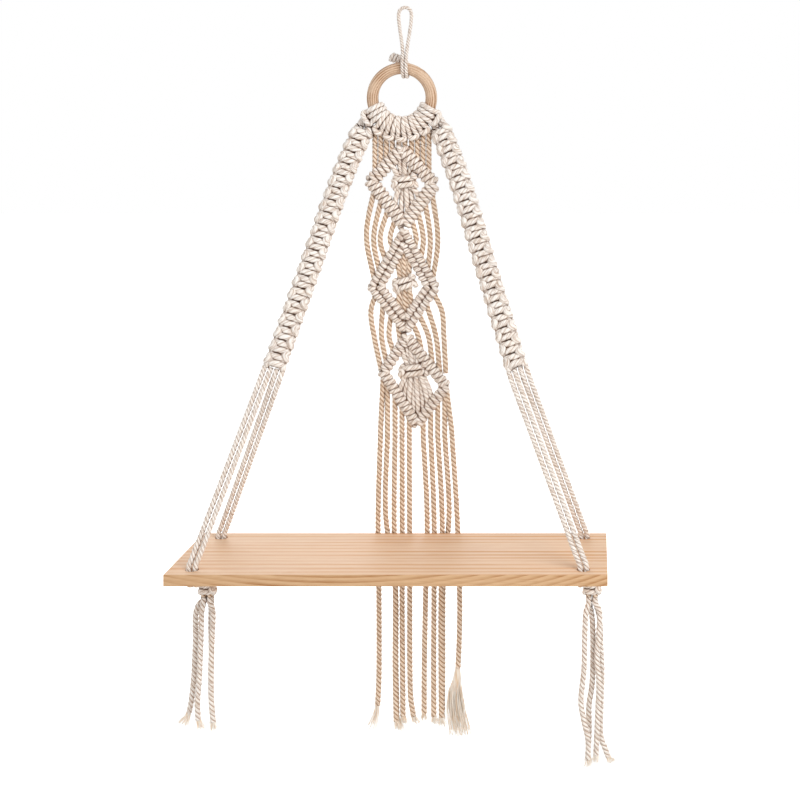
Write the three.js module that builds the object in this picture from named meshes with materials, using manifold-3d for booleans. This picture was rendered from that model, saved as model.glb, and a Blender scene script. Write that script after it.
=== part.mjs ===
// Hanging rope shelf.
// A pine board hangs in two knotted rope bands from a wooden ring, and the ring hangs in
// a rope loop on a wall hook. A knotted rope panel falls from the ring behind the board
// and ends in a fringe.
// Millimetres, +Z up, the front towards -Y, the wall behind at +Y.
// The origin is the top of the wall hook, where the loop rests on it.

import * as THREE from 'three';
import { mergeVertices } from 'three/addons/utils/BufferGeometryUtils.js';
import Module from 'manifold-3d';

const wasm = await Module();
wasm.setup();

// Rope
const ropeDiameter = 5.2; // three-strand cotton
const loopRopeDiameter = 4.4;
const clearance = 0.3; // between pieces that touch
const flexGap = 0.85; // where a rope bends like a hinge between two of its stretches
const overrun = 3; // how far a cutting solid runs past what it cuts

// Board
const boardWidth = 400;
const boardDepth = 130;
const boardThickness = 10.6;
const boardDrop = 520; // from the hook to the board's top
const boardShift = 0.2; // how far the board hangs to the right of the hook
const holeDiameter = 12;
const holeEndInset = 22;
const holeEdgeInset = 15;
const holeBendShare = 0.04; // of a suspension rope, the bend above its hole

// Ring
const ringDiameter = 70;
const ringThickness = 11.6;
const ringTopDrop = 53; // from the hook to the top of the ring
const ringShift = -3.1;

// Ring knots: five for the panel, one on each side for a band
const panelKnotAngle = 17.8; // degrees from one to the next round the ring
const bandKnotAngle = 58.75; // degrees from straight down to a band's knot
const panelKnotHalfAngle = 8.4;
const bandKnotHalfAngle = 13.6;
const boreOverrunAngle = 3; // degrees that a ring knot's bore is cut past its ends
const wrapThickness = 5;
const wrapGroove = 1.25; // between two wraps
const panelBarLength = 11.2; // the fold across the front of a ring knot
const bandBarLength = 15;
const barThickness = 6.6;
const barDrop = 11.8; // from the ring's section centre, away from the ring's centre
const barForward = 5;

// Hanging loop
const hookSpan = 7; // half the loop's width on the hook
const loopNeckDrop = 42; // from the hook to where its strands meet
const loopShift = 0.2; // how far right of the hook the loop crosses the ring
const loopSwayGap = 1.2; // round the ring, so that it can sway
const loopKnotShift = -10.2;
const loopKnotBack = 8.6; // behind the ring's middle
const loopKnotDrop = 48.5; // below the hook
const loopKnotLength = 12.4;
const loopKnotWidth = 11;
const loopKnotSlope = 2; // how far the knot's ends lie above and below its middle
const loopKnotEntryShare = 0.25; // of the knot's length, where the loop's ends enter it

// Bands
const bandKnotCount = 19;
const bandWidth = 21.5;
const bandThickness = 14;
const bandTopSpan = 37.8; // from the ring's centre line to the band's top
const bandTopDrop = 30; // from the ring's centre
const bandEndSpan = 114.7; // from the board's centre line to the band's lower end
const bandEndRise = 175.5; // from the board's top to the band's lower end
const bandBow = 3; // how far a band bows outwards
const bandBowShares = [0.2, 0.6]; // of its length: its full bow, and half of it
const bandSetback = 2.5; // bare rope between the ring knot and the first square knot
const bandGrooveShare = 0.84; // of the full width and thickness, between half knots
const bandBumpShare = 0.05; // of the width, how far a half knot leans to its side

// Panel
const panelHalfWidth = 40;
const panelTopGap = 12; // from the bottom of the ring to where the knotting starts
const panelHeight = 289; // knotted part
const rowWidth = 8.4; // one row of hitches
const rowThickness = 9;
const rowForward = 0.8; // the rows stand a little in front of the ropes
const rowGrooveShare = 0.76; // of the full row, between two hitches
const looseBow = 6; // how far the loose ropes beside the diamonds bow outwards
const centreKnotWidth = 20;
const centreKnotHeight = 14;
const centreKnotThickness = 13;
const knotBarShare = 0.44; // of a square knot's height, one bar
const knotSlopeShare = 0.06; // of its height, how far a bar's ends rise and fall

// Fringe and tails
const fringeShares = [-0.535, -0.36, -0.172, 0.002, 0.182, 0.527, 0.715, 0.89, 1.065, 1.245];
const tasselLength = 66;
const tasselWidth = 20;

// Knots that gather the four ropes of a side under the board
const gatherDrop = 18.4; // from the board's underside to the knot's centre
const gatherWidth = 18;
const gatherHeight = 20;
const gatherThickness = 15;
const gatherTurn = 3.7; // how far under the board a rope turns towards the knot
const gatherForward = 4; // in front of the board's middle
const leftGatherShift = 1.3; // to the right of the holes
const rightGatherShift = 7.8;

// Sides and steps, as counts
const ropeSides = 8;
const knottedSides = 5;
const ropeStepDiameters = 3; // one step in so many rope diameters
const loopStepDiameters = 0.8;
const bandSides = 6;
const bandCoreSteps = 6;
const boreFullness = 2.5;
const ringSides = 10;
const ringSegments = 30;
const ringKnotSides = 8;
const holeSegments = 16;

const ropePitch = ropeDiameter + 2 * clearance; // ropes side by side
const ringRadius = (ringDiameter - ringThickness) / 2; // to the middle of its section
const ringCentre = new THREE.Vector3(ringShift, 0, -ringTopDrop - ringDiameter / 2);
const boardBack = -(ropeDiameter / 2 + 2 * clearance); // the fringe passes behind it
const boardMiddle = boardBack - boardDepth / 2;
const boardUnderside = -boardDrop - boardThickness;
const forwards = new THREE.Vector3(0, -1, 0);

const cotton = { color: '#e4d9cb', roughness: 0.95, metalness: 0 };
const beech = { color: '#d9b994', roughness: 0.55, metalness: 0 };
const pine = { color: '#e3c29c', roughness: 0.65, metalness: 0 };

const sides = [['left', -1], ['right', 1]];

const shelf = new THREE.Group();

function point(x, y, z) {
  return new THREE.Vector3(x, y, z);
}

function addPiece(name, shape, material) {
  const geometry = shape instanceof wasm.Manifold ? geometryOf(shape) : shape;
  const mesh = new THREE.Mesh(geometry, new THREE.MeshStandardMaterial(material));
  mesh.name = name;
  shelf.add(mesh);
}

// A closed mesh as a solid that can be joined and cut.
function solidOf(geometry) {
  const bare = geometry.clone();
  bare.deleteAttribute('normal');
  bare.deleteAttribute('uv');
  const welded = mergeVertices(bare);
  const vertProperties = Float32Array.from(welded.attributes.position.array);
  const triVerts = Uint32Array.from(welded.index.array);
  return new wasm.Manifold(new wasm.Mesh({ numProp: 3, vertProperties, triVerts }));
}

function geometryOf(solid) {
  const mesh = solid.getMesh();
  const geometry = new THREE.BufferGeometry();
  geometry.setAttribute('position', new THREE.BufferAttribute(mesh.vertProperties, 3));
  geometry.setIndex(new THREE.BufferAttribute(mesh.triVerts, 1));
  geometry.computeVertexNormals();
  return geometry;
}

function joined(solids) {
  return solids.reduce((whole, solid) => whole.add(solid));
}

// A free stretch of rope: a section of flat sides along a smooth curve.
function ropeTube(points, diameter, stepDiameters = ropeStepDiameters) {
  const corners = [];
  for (let side = 0; side < ropeSides; side += 1) {
    const angle = (2 * Math.PI * side) / ropeSides;
    const corner = new THREE.Vector2(Math.cos(angle), Math.sin(angle));
    corners.push(corner.multiplyScalar(diameter / 2));
  }
  const extrudePath = new THREE.CatmullRomCurve3(points, false, 'centripetal');
  const steps = Math.ceil(extrudePath.getLength() / (stepDiameters * diameter));
  const options = { steps, extrudePath, bevelEnabled: false };
  return new THREE.ExtrudeGeometry(new THREE.Shape(corners), options);
}

// A ring of points square to a path, wide across the object and thick from front to back.
// A higher fullness is squarer; one is an ellipse.
function sectionRing(centre, along, halfWidth, halfThickness, sides, fullness = 1) {
  const across = new THREE.Vector3().crossVectors(forwards, along).normalize();
  const out = new THREE.Vector3().crossVectors(along, across).normalize();
  const ring = [];
  for (let side = 0; side < sides; side += 1) {
    const angle = (2 * Math.PI * (side + 0.5)) / sides;
    const wide = Math.sign(Math.cos(angle)) * Math.abs(Math.cos(angle)) ** (1 / fullness);
    const thick = Math.sign(Math.sin(angle)) * Math.abs(Math.sin(angle)) ** (1 / fullness);
    const place = centre.clone().addScaledVector(across, halfWidth * wide);
    ring.push(place.addScaledVector(out, halfThickness * thick));
  }
  return ring;
}

// The closed skin over a row of such rings, flat at both ends.
function skin(rings) {
  const sides = rings[0].length;
  const positions = rings.flat().flatMap((place) => place.toArray());
  const index = [];
  for (let row = 0; row < rings.length - 1; row += 1) {
    for (let side = 0; side < sides; side += 1) {
      const here = row * sides + side;
      const next = row * sides + ((side + 1) % sides);
      index.push(here, next, next + sides, here, next + sides, here + sides);
    }
  }
  const last = (rings.length - 1) * sides;
  for (let side = 1; side < sides - 1; side += 1) {
    index.push(0, side + 1, side, last, last + side, last + side + 1);
  }
  const geometry = new THREE.BufferGeometry();
  geometry.setAttribute('position', new THREE.Float32BufferAttribute(positions, 3));
  geometry.setIndex(index);
  geometry.computeVertexNormals();
  return geometry;
}

// A rope with a section at each of its points.
function ropeThrough(points, diameter, sideCount) {
  const rings = points.map((place, i) => {
    const before = points[Math.max(i - 1, 0)];
    const after = points[Math.min(i + 1, points.length - 1)];
    const along = after.clone().sub(before).normalize();
    return sectionRing(place, along, diameter / 2, diameter / 2, sideCount);
  });
  return skin(rings);
}

function shortRope(points, diameter = ropeDiameter) {
  return solidOf(ropeThrough(points, diameter, knottedSides));
}

// One turn of rope that shows as a bar, with round ends.
function bar(from, to, width, thickness) {
  const along = to.clone().sub(from).normalize();
  const endShare = 0.14;
  const endFullShare = 0.55;
  const rings = [0, endShare, 1 - endShare, 1].map((share) => {
    const full = share === 0 || share === 1 ? endFullShare : 1;
    const place = from.clone().lerp(to, share);
    return sectionRing(place, along, (width / 2) * full, (thickness / 2) * full, knottedSides);
  });
  return solidOf(skin(rings));
}

// A row of hitches: a bar with one rib for the two turns of each rope.
function hitchRow(from, to, width) {
  const along = to.clone().sub(from).normalize();
  const ribs = Math.round(from.distanceTo(to) / (2 * ropePitch));
  const rings = [];
  for (let half = 0; half <= 2 * ribs; half += 1) {
    const full = half % 2 === 0 ? rowGrooveShare : 1;
    const place = from.clone().lerp(to, half / (2 * ribs));
    const halfWidth = (width / 2) * full;
    const halfThickness = (rowThickness / 2) * full;
    rings.push(sectionRing(place, along, halfWidth, halfThickness, knottedSides));
  }
  return solidOf(skin(rings));
}

// A square knot seen from the front: two slanted bars with a turn down one side, over a core.
function squareKnot(centre, width, height, thickness) {
  const turn = width / 4;
  const reach = width / 2 - turn / 2;
  const front = centre.y - thickness / 2 + turn / 2;
  const barHeight = height * knotBarShare;
  const slope = height * knotSlopeShare;
  const barRise = (height - barHeight) / 2 - slope;
  const parts = [];
  for (const rise of [-barRise, barRise]) {
    const from = point(centre.x - reach, front, centre.z + rise - slope);
    const to = point(centre.x + reach, front, centre.z + rise + slope);
    parts.push(bar(from, to, barHeight, turn));
  }
  for (const side of [-1, 1]) {
    const x = centre.x + side * reach;
    const top = point(x, centre.y, centre.z + height / 2);
    const bottom = point(x, centre.y, centre.z - height / 2);
    parts.push(bar(top, bottom, turn, thickness));
  }
  const coreTop = point(centre.x, centre.y, centre.z + height / 2);
  const coreBottom = point(centre.x, centre.y, centre.z - height / 2);
  parts.push(bar(coreTop, coreBottom, 2 * reach, thickness - turn));
  return joined(parts);
}

// Wooden ring, turned, with a round section.
{
  const profile = [];
  for (let side = 0; side <= ringSides; side += 1) {
    const angle = (2 * Math.PI * (side % ringSides)) / ringSides;
    const x = ringRadius + (ringThickness / 2) * Math.cos(angle);
    profile.push(new THREE.Vector2(x, (ringThickness / 2) * Math.sin(angle)));
  }
  const ring = new THREE.LatheGeometry(profile, ringSegments);
  ring.translate(ringCentre.x, ringCentre.y, ringCentre.z);
  addPiece('wooden_ring', ring, beech);
}

// Shelf board, with two holes at each end.
const holeX = boardWidth / 2 - holeEndInset;
const frontHoleY = boardMiddle - boardDepth / 2 + holeEdgeInset;
const backHoleY = boardMiddle + boardDepth / 2 - holeEdgeInset;
{
  const board = new THREE.BoxGeometry(boardWidth, boardDepth, boardThickness);
  board.translate(boardShift, boardMiddle, boardUnderside + boardThickness / 2);
  let solid = solidOf(board);
  for (const side of [-1, 1]) {
    for (const y of [frontHoleY, backHoleY]) {
      const radius = holeDiameter / 2;
      const height = boardThickness + 2 * overrun;
      const drill = new THREE.CylinderGeometry(radius, radius, height, holeSegments);
      drill.rotateX(Math.PI / 2);
      drill.translate(boardShift + side * holeX, y, boardUnderside + boardThickness / 2);
      solid = solid.subtract(solidOf(drill));
    }
  }
  addPiece('shelf_board', solid, pine);
}

// Hanging loop: a cord folded over the hook, down in front of the ring, through it and up
// behind. The knot behind the ring's top ties its two ends.
const ringTop = ringCentre.z + ringRadius;
const loopRadius = loopRopeDiameter / 2;
const loopPitch = loopRopeDiameter + clearance;
const loopTurn = ringThickness / 2 + loopSwayGap + loopRadius;
const loopEnd = ringTop + ringThickness / 4;

function loopStrand(side) {
  const x = loopShift + (side * loopPitch) / 2;
  const diagonal = loopTurn * Math.SQRT1_2;
  return [
    point(side * hookSpan, 0, loopRadius - hookSpan),
    point(x + side * clearance, -loopTurn / 2, -loopNeckDrop),
    point(x, -loopTurn, ringTop + ringThickness / 2),
    point(x, -loopTurn, ringTop),
    point(x, -diagonal, ringTop - diagonal),
    point(x, 0, ringTop - loopTurn),
    point(x, diagonal, ringTop - diagonal),
    point(x, loopTurn, ringTop),
    point(x, loopTurn, loopEnd),
  ];
}

{
  const corner = hookSpan * Math.SQRT1_2;
  const bight = [
    point(-corner, 0, loopRadius - hookSpan + corner),
    point(0, 0, loopRadius),
    point(corner, 0, loopRadius - hookSpan + corner),
  ];
  const points = [...loopStrand(-1).reverse(), ...bight, ...loopStrand(1)];
  addPiece('hanging_loop', ropeTube(points, loopRopeDiameter, loopStepDiameters), cotton);

  const reach = point(loopKnotLength / 2, 0, -loopKnotSlope);
  const middle = point(loopKnotShift, loopKnotBack, -loopKnotDrop);
  const from = middle.clone().sub(reach);
  const to = middle.clone().add(reach);
  const parts = [hitchRow(from, to, loopKnotWidth)];
  for (const side of [-1, 1]) {
    const x = loopShift + (side * loopPitch) / 2;
    const start = point(x, loopTurn, loopEnd + clearance);
    const bend = point(x, loopTurn, loopEnd + loopRadius);
    parts.push(shortRope([start, bend, to.clone().lerp(from, loopKnotEntryShare)], loopRopeDiameter));
  }
  addPiece('hanging_loop_knot', joined(parts), cotton);
}

// Ring knots: a rope is folded round the ring, its wraps held by the bar of its own fold
// across the front, and its two ends run down behind the bar.
function ringPoint(degrees, radius, y = 0) {
  const angle = THREE.MathUtils.degToRad(degrees);
  const x = ringCentre.x + radius * Math.sin(angle);
  return point(x, y, ringCentre.z - radius * Math.cos(angle));
}

// Round sections along the ring, one for each radius, between two angles.
function ringSleeve(degrees, halfAngle, radii) {
  const rings = radii.map((radius, i) => {
    const turn = degrees - halfAngle + (2 * halfAngle * i) / (radii.length - 1);
    const ring = [];
    for (let side = 0; side < ringKnotSides; side += 1) {
      const angle = (2 * Math.PI * (side + 0.5)) / ringKnotSides;
      const away = ringRadius + radius * Math.cos(angle);
      ring.push(ringPoint(turn, away, radius * Math.sin(angle)));
    }
    return ring;
  });
  return solidOf(skin(rings));
}

function ringKnot(degrees, halfAngle, wraps, barLength) {
  const inner = (ringThickness / 2 + clearance) / Math.cos(Math.PI / ringKnotSides);
  const outer = ringThickness / 2 + clearance + wrapThickness;
  const groove = outer - wrapGroove;
  const radii = [groove];
  const bores = [inner];
  for (let wrap = 0; wrap < wraps; wrap += 1) {
    radii.push(outer, groove);
    bores.push(inner, inner);
  }
  const hollow = ringSleeve(degrees, halfAngle + boreOverrunAngle, bores);
  const middle = ringPoint(degrees, ringRadius + barDrop, -barForward);
  const angle = THREE.MathUtils.degToRad(degrees);
  const half = point(Math.cos(angle), 0, Math.sin(angle)).multiplyScalar(barLength / 2);
  const from = middle.clone().sub(half);
  const to = middle.clone().add(half);
  const fold = bar(from, to, barThickness, barThickness);
  return joined([ringSleeve(degrees, halfAngle, radii).subtract(hollow), fold]);
}

const panelTop = ringCentre.z - ringDiameter / 2 - panelTopGap;
const panelRopeX = [];
const stubRadius = ringRadius + ringThickness / 2 + clearance + ropeDiameter / 2;
const stubAngle = THREE.MathUtils.radToDeg(ropePitch / 2 / stubRadius);

for (let knot = -2; knot <= 2; knot += 1) {
  const degrees = knot * panelKnotAngle;
  const ropes = [-1, 1].map((side) => {
    const start = ringPoint(degrees + side * stubAngle, stubRadius);
    const x = ringPoint(degrees, ringRadius + barDrop).x + (side * ropePitch) / 2;
    const bend = point(x, 0, start.z - ropeDiameter);
    panelRopeX.push(x);
    return shortRope([start, bend, point(x, 0, panelTop + clearance / 2)]);
  });
  const folded = ringKnot(degrees, panelKnotHalfAngle, 2, panelBarLength);
  addPiece(`ring_knot_panel_${knot + 3}`, joined([folded, ...ropes]), cotton);
}

// Bands: two core ropes, and a rope tied round them in square knots. Each square knot is
// two half knots, the bump of the first on one side and of the second on the other.
const bandTopZ = ringCentre.z - bandTopDrop;
const bandEndZ = -boardDrop + bandEndRise;

function bandLine(side) {
  const top = point(ringCentre.x + side * bandTopSpan, 0, bandTopZ);
  const end = point(boardShift + side * bandEndSpan, boardMiddle, bandEndZ);
  const upper = top.clone().lerp(end, bandBowShares[0]);
  upper.x += side * bandBow;
  const lower = top.clone().lerp(end, bandBowShares[1]);
  lower.x += (side * bandBow) / 2;
  return new THREE.CatmullRomCurve3([top, upper, lower, end]);
}

function acrossLine(along) {
  return new THREE.Vector3().crossVectors(forwards, along).normalize();
}

for (const [name, side] of sides) {
  const line = bandLine(side);
  const along = line.getTangentAt(0);
  const across = acrossLine(along);
  const ropes = [-1, 1].map((each) => {
    const start = ringPoint(side * bandKnotAngle + each * stubAngle, stubRadius);
    const end = line.getPointAt(0).addScaledVector(across, (each * ropePitch) / 2);
    end.addScaledVector(along, -flexGap);
    const bend = end.clone().addScaledVector(along, -ropeDiameter);
    return shortRope([start, bend, end]);
  });
  const folded = ringKnot(side * bandKnotAngle, bandKnotHalfAngle, 3, bandBarLength);
  addPiece(`ring_knot_${name}_band`, joined([folded, ...ropes]), cotton);
}

for (const [name, side] of sides) {
  const line = bandLine(side);
  const setbackShare = bandSetback / line.getLength();

  const section = (share, aside, halfWidth, halfThickness, count, fullness) => {
    const along = line.getTangentAt(share);
    const place = line.getPointAt(share).addScaledVector(acrossLine(along), aside);
    return sectionRing(place, along, halfWidth, halfThickness, count, fullness);
  };

  const knots = [];
  const steps = 4 * bandKnotCount;
  for (let step = 0; step <= steps; step += 1) {
    const share = 1 - (1 - setbackShare) * (1 - step / steps);
    const full = step % 2 === 0 ? bandGrooveShare : 1;
    const bump = step % 2 === 0 ? 0 : bandWidth * bandBumpShare * (step % 4 === 1 ? 1 : -1);
    const halfWidth = (bandWidth * full) / 2;
    knots.push(section(share, bump, halfWidth, (bandThickness * full) / 2, bandSides, 1));
  }

  const bores = [];
  const halfBore = ropePitch / 2 + ropeDiameter / 2 + clearance;
  for (let step = 0; step <= bandCoreSteps; step += 1) {
    const share = step / bandCoreSteps;
    const ring = section(share, 0, halfBore, ropeDiameter / 2 + clearance, ropeSides, boreFullness);
    if (step % bandCoreSteps === 0) {
      const past = line.getTangentAt(share).multiplyScalar(step === 0 ? -overrun : overrun);
      ring.forEach((place) => place.add(past));
    }
    bores.push(ring);
  }
  const sleeve = solidOf(skin(knots)).subtract(solidOf(skin(bores)));
  addPiece(`${name}_band_square_knots`, sleeve, cotton);

  for (const [place, each] of [['outer', 1], ['inner', -1]]) {
    const rings = [];
    for (let step = 0; step <= bandCoreSteps; step += 1) {
      const aside = (side * each * ropePitch) / 2;
      const radius = ropeDiameter / 2;
      rings.push(section(step / bandCoreSteps, aside, radius, radius, ropeSides, 1));
    }
    addPiece(`${name}_band_${place}_core_rope`, skin(rings), cotton);
  }
}

// Suspension ropes: counted from the left, the first two of each band go to the front hole
// and the other two to the back hole, and stand upright in it.
for (const [name, side] of sides) {
  const line = bandLine(side);
  const along = line.getTangentAt(1);
  const across = acrossLine(along);
  for (let rope = 0; rope < 4; rope += 1) {
    const offset = ((2 * rope - 3) * ropePitch) / 2;
    const front = rope < 2;
    const inHole = ((rope % 2 === 0 ? -1 : 1) * ropePitch) / 2;
    const x = boardShift + side * holeX + inHole;
    const y = front ? frontHoleY : backHoleY;
    const top = line.getPointAt(1).addScaledVector(along, flexGap);
    top.addScaledVector(across, offset);
    const next = top.clone().addScaledVector(along, ropePitch);
    const mouth = point(x, y, -boardDrop + ropePitch / 2);
    const bend = mouth.clone().lerp(next, holeBendShare);
    const points = [top, next];
    points.push(next.clone().lerp(bend, 1 / 3), next.clone().lerp(bend, 2 / 3));
    points.push(bend, mouth, point(x, y, boardUnderside));
    const number = front ? rope + 1 : rope - 1;
    const label = `${name}_suspension_rope_${front ? 'front' : 'back'}_${number}`;
    addPiece(label, ropeThrough(points, ropeDiameter, ropeSides), cotton);
  }
}

// Gathering knots: under the board the four ropes of a side run to the middle and are
// tied together in one knot.
const gatherZ = boardUnderside - gatherDrop;
const gatherY = boardMiddle - gatherForward;
for (const [name, side] of sides) {
  const knotX = boardShift + side * holeX + (side < 0 ? leftGatherShift : rightGatherShift);
  const centre = point(knotX, gatherY, gatherZ);
  const parts = [squareKnot(centre, gatherWidth, gatherHeight, gatherThickness)];
  for (const y of [frontHoleY, backHoleY]) {
    for (const each of [-1, 1]) {
      const x = boardShift + side * holeX + (each * ropePitch) / 2;
      const under = boardUnderside - clearance;
      const turn = point(x, y, under - gatherTurn);
      const to = centre.clone();
      to.x += (each * ropePitch) / 2;
      to.y += Math.sign(y - gatherY) * (gatherThickness / 4);
      to.z += gatherHeight / 8;
      parts.push(shortRope([point(x, y, under), turn, point(x, y, turn.z - clearance)]));
      const away = turn.clone().sub(to).normalize();
      parts.push(shortRope([turn.clone().addScaledVector(away, clearance), to]));
    }
  }
  addPiece(`${name}_gathering_knot`, joined(parts), cotton);
}

// Knotted panel: diamonds of hitched rows round a square knot, drawn in shares of the
// panel's half width and of its height.
function panelPoint([acrossShare, downShare], y = 0) {
  const x = ringCentre.x + acrossShare * panelHalfWidth;
  return point(x, y, panelTop - downShare * panelHeight);
}

const diamonds = [
  {
    name: 'upper',
    topShares: [0, 0.015],
    leftShares: [-0.76, 0.125],
    rightShares: [0.8, 0.135],
    bottomShares: [0.05, 0.275],
    knotShares: [0.07, 0.128],
    rowShares: [1],
  },
  {
    name: 'middle',
    topShares: [0.05, 0.295],
    leftShares: [-0.75, 0.49],
    rightShares: [0.85, 0.49],
    bottomShares: [0.1, 0.64],
    knotShares: [0.14, 0.478],
    rowShares: [1, 0.74],
  },
  {
    name: 'lower',
    topShares: [0.13, 0.66],
    leftShares: [-0.52, 0.782],
    rightShares: [1.1, 0.815],
    bottomShares: [0.375, 0.96],
    knotShares: [0.29, 0.775],
    rowShares: [1],
  },
];
const levelShares = [0, 0.2855, 0.65, 1]; // where one diamond's ropes run into the next
const strandShares = [0.31, 0.56, 0.81]; // along a row, where its three strands leave it
const looseShares = [0.1, 0.32, 0.53, 0.75]; // along a row, where its loose ropes leave it

const panelParts = [];
for (const diamond of diamonds) {
  diamond.knot = panelPoint(diamond.knotShares, -rowForward);
  for (const corner of ['top', 'left', 'right', 'bottom']) {
    diamond[corner] = panelPoint(diamond[`${corner}Shares`], -rowForward);
  }
  for (const side of ['left', 'right']) {
    for (const end of ['top', 'bottom']) {
      for (const share of diamond.rowShares) {
        const from = diamond.knot.clone().lerp(diamond[side], share);
        const to = diamond.knot.clone().lerp(diamond[end], share);
        panelParts.push(hitchRow(from, to, rowWidth));
      }
      panelParts.push(...diamondStrands(diamond, side, end));
    }
  }
}

// Three strands from a row to the square knot in the middle.
function diamondStrands(diamond, side, end) {
  const share = diamond.rowShares.at(-1);
  const from = diamond.knot.clone().lerp(diamond[side], share);
  const to = diamond.knot.clone().lerp(diamond[end], share);
  const sideways = side === 'left' ? -1 : 1;
  const upwards = end === 'top' ? 1 : -1;
  return [1, 2, 3].map((strand) => {
    const start = to.clone().lerp(from, strandShares[strand - 1]);
    const finish = diamond.knot.clone();
    finish.x += (sideways * strand * centreKnotWidth) / 7;
    finish.z += upwards * (centreKnotHeight / 2 + clearance);
    start.y = 0;
    finish.y = 0;
    const bend = finish.clone();
    bend.z += upwards * ropeDiameter;
    return shortRope([start, bend, finish]);
  });
}

// The ropes from the ring run straight down into the uppermost rows.
for (const x of panelRopeX) {
  const { top, left, right } = diamonds[0];
  const corner = x < top.x ? left : right;
  const end = top.clone().lerp(corner, Math.min((x - top.x) / (corner.x - top.x), 1));
  end.y = 0;
  panelParts.push(shortRope([point(x, 0, panelTop), end.setX(x)]));
}

// Between two diamonds the loose ropes bow outwards.
for (let pair = 0; pair < 2; pair += 1) {
  for (const [name, side] of sides) {
    for (const share of looseShares) {
      const start = diamonds[pair][name].clone().lerp(diamonds[pair].bottom, share);
      const end = diamonds[pair + 1][name].clone().lerp(diamonds[pair + 1].top, share);
      start.y = 0;
      end.y = 0;
      const points = [start];
      for (const along of [1 / 4, 2 / 4, 3 / 4]) {
        const place = start.clone().lerp(end, along);
        place.x += side * looseBow * Math.sin(Math.PI * along);
        points.push(place);
      }
      points.push(end);
      panelParts.push(shortRope(points));
    }
  }
}

// Each rope of the fringe leaves the lowest diamond's row or its side corner.
const fringeX = fringeShares.map((share) => ringCentre.x + share * panelHalfWidth);
const panelBottom = panelTop - panelHeight;
fringeX.forEach((x, rope) => {
  const left = rope < fringeX.length / 2;
  const { bottom } = diamonds[2];
  const corner = left ? diamonds[2].left : diamonds[2].right;
  const outermost = rope === 0 || rope === fringeX.length - 1;
  const share = outermost ? 0 : (x - corner.x) / (bottom.x - corner.x);
  const start = corner.clone().lerp(bottom, Math.min(Math.max(share, 0), 1));
  start.y = 0;
  const bend = point(x, 0, start.z - ropePitch);
  if (outermost) {
    bend.x += left ? -clearance : 0;
    bend.z = (start.z * 2 + panelBottom) / 3;
  }
  panelParts.push(shortRope([start, bend, point(x, 0, panelBottom + clearance / 2)]));
});

const panel = joined(panelParts);
diamonds.forEach((diamond, index) => {
  const top = panelTop - levelShares[index] * panelHeight - clearance / 2;
  const bottom = panelTop - levelShares[index + 1] * panelHeight + clearance / 2;
  const slab = new THREE.BoxGeometry(4 * panelHalfWidth, panelHalfWidth, top - bottom);
  slab.translate(ringCentre.x, 0, (top + bottom) / 2);
  addPiece(`panel_${diamond.name}_diamond`, panel.intersect(solidOf(slab)), cotton);
  const { x, z } = diamond.knot;
  const place = point(x, -rowForward, z);
  const knot = squareKnot(place, centreKnotWidth, centreKnotHeight, centreKnotThickness);
  addPiece(`panel_${diamond.name}_square_knot`, knot, cotton);
});

// Fringe: ten free rope ends. Each route starts under the panel, and runs down behind the
// board. The last rope is unravelled into a tassel.
const fringeRoutes = [
  [[-26.8, 0, -503], [-25.9, 0, -587], [-26, 0, -665], [-28.5, 0, -697], [-32, 0, -709]],
  [[-19.4, 1, -503], [-12, 6, -560], [-10, 6.2, -587], [-10, 6.2, -650], [-9, 6.2, -706]],
  [[-10.9, 0, -503], [-9.5, 0, -587], [-9.8, 0, -650], [-8.5, 0, -712]],
  [[-3, 1, -503], [-3, 1, -587], [-2.6, 1, -650], [-2, 1, -709]],
  [[4.5, 0, -503], [4.7, 0, -587], [4.9, 0, -660], [6, 0, -690], [9, 0, -708.6]],
  [[21.9, 0, -503], [20.4, 0, -587], [19.2, 0, -650], [19, 0, -706]],
  [[28.8, 0, -503], [28.8, 0, -587], [28.5, 0, -650], [27.9, 0, -707]],
  [[36.8, 0, -503], [35.8, 0, -587], [35.8, 0, -650], [35.8, 0, -708]],
  [[43.7, 1, -503], [38, 6, -560], [37, 6.5, -587], [36.8, 6.5, -650], [36.5, 6.5, -705]],
  [[51.7, 0, -503], [54.4, 0, -587], [54, 0, -625], [52.7, 0, -655]],
];

// The tassel's outline: how far down its length, how far aside and how wide, as shares of
// its length and width.
const tasselShares = [
  [0, 0, 0.26],
  [0.25, -0.08, 0.5],
  [0.5, -0.15, 0.72],
  [0.8, -0.05, 0.95],
  [1, 0.05, 1],
];

fringeX.forEach((x, rope) => {
  const start = point(x, 0, panelBottom - clearance / 2);
  const route = fringeRoutes[rope].map((place) => point(...place));
  const tube = ropeTube([start, ...route], ropeDiameter);
  const name = `fringe_rope_${rope + 1}`;
  if (rope < fringeX.length - 1) {
    addPiece(name, tube, cotton);
    return;
  }
  const end = route.at(-1);
  const rings = tasselShares.map(([down, aside, full]) => {
    const z = end.z + ropeDiameter - down * (tasselLength + ropeDiameter);
    const place = point(end.x + aside * tasselWidth, 0, z);
    const radius = (tasselWidth * full) / 2;
    const thickness = Math.max(radius / 2, ropeDiameter / 2);
    return sectionRing(place, point(0, 0, -1), radius, thickness, ropeSides);
  });
  addPiece(name, joined([solidOf(tube), solidOf(skin(rings))]), cotton);
});

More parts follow.
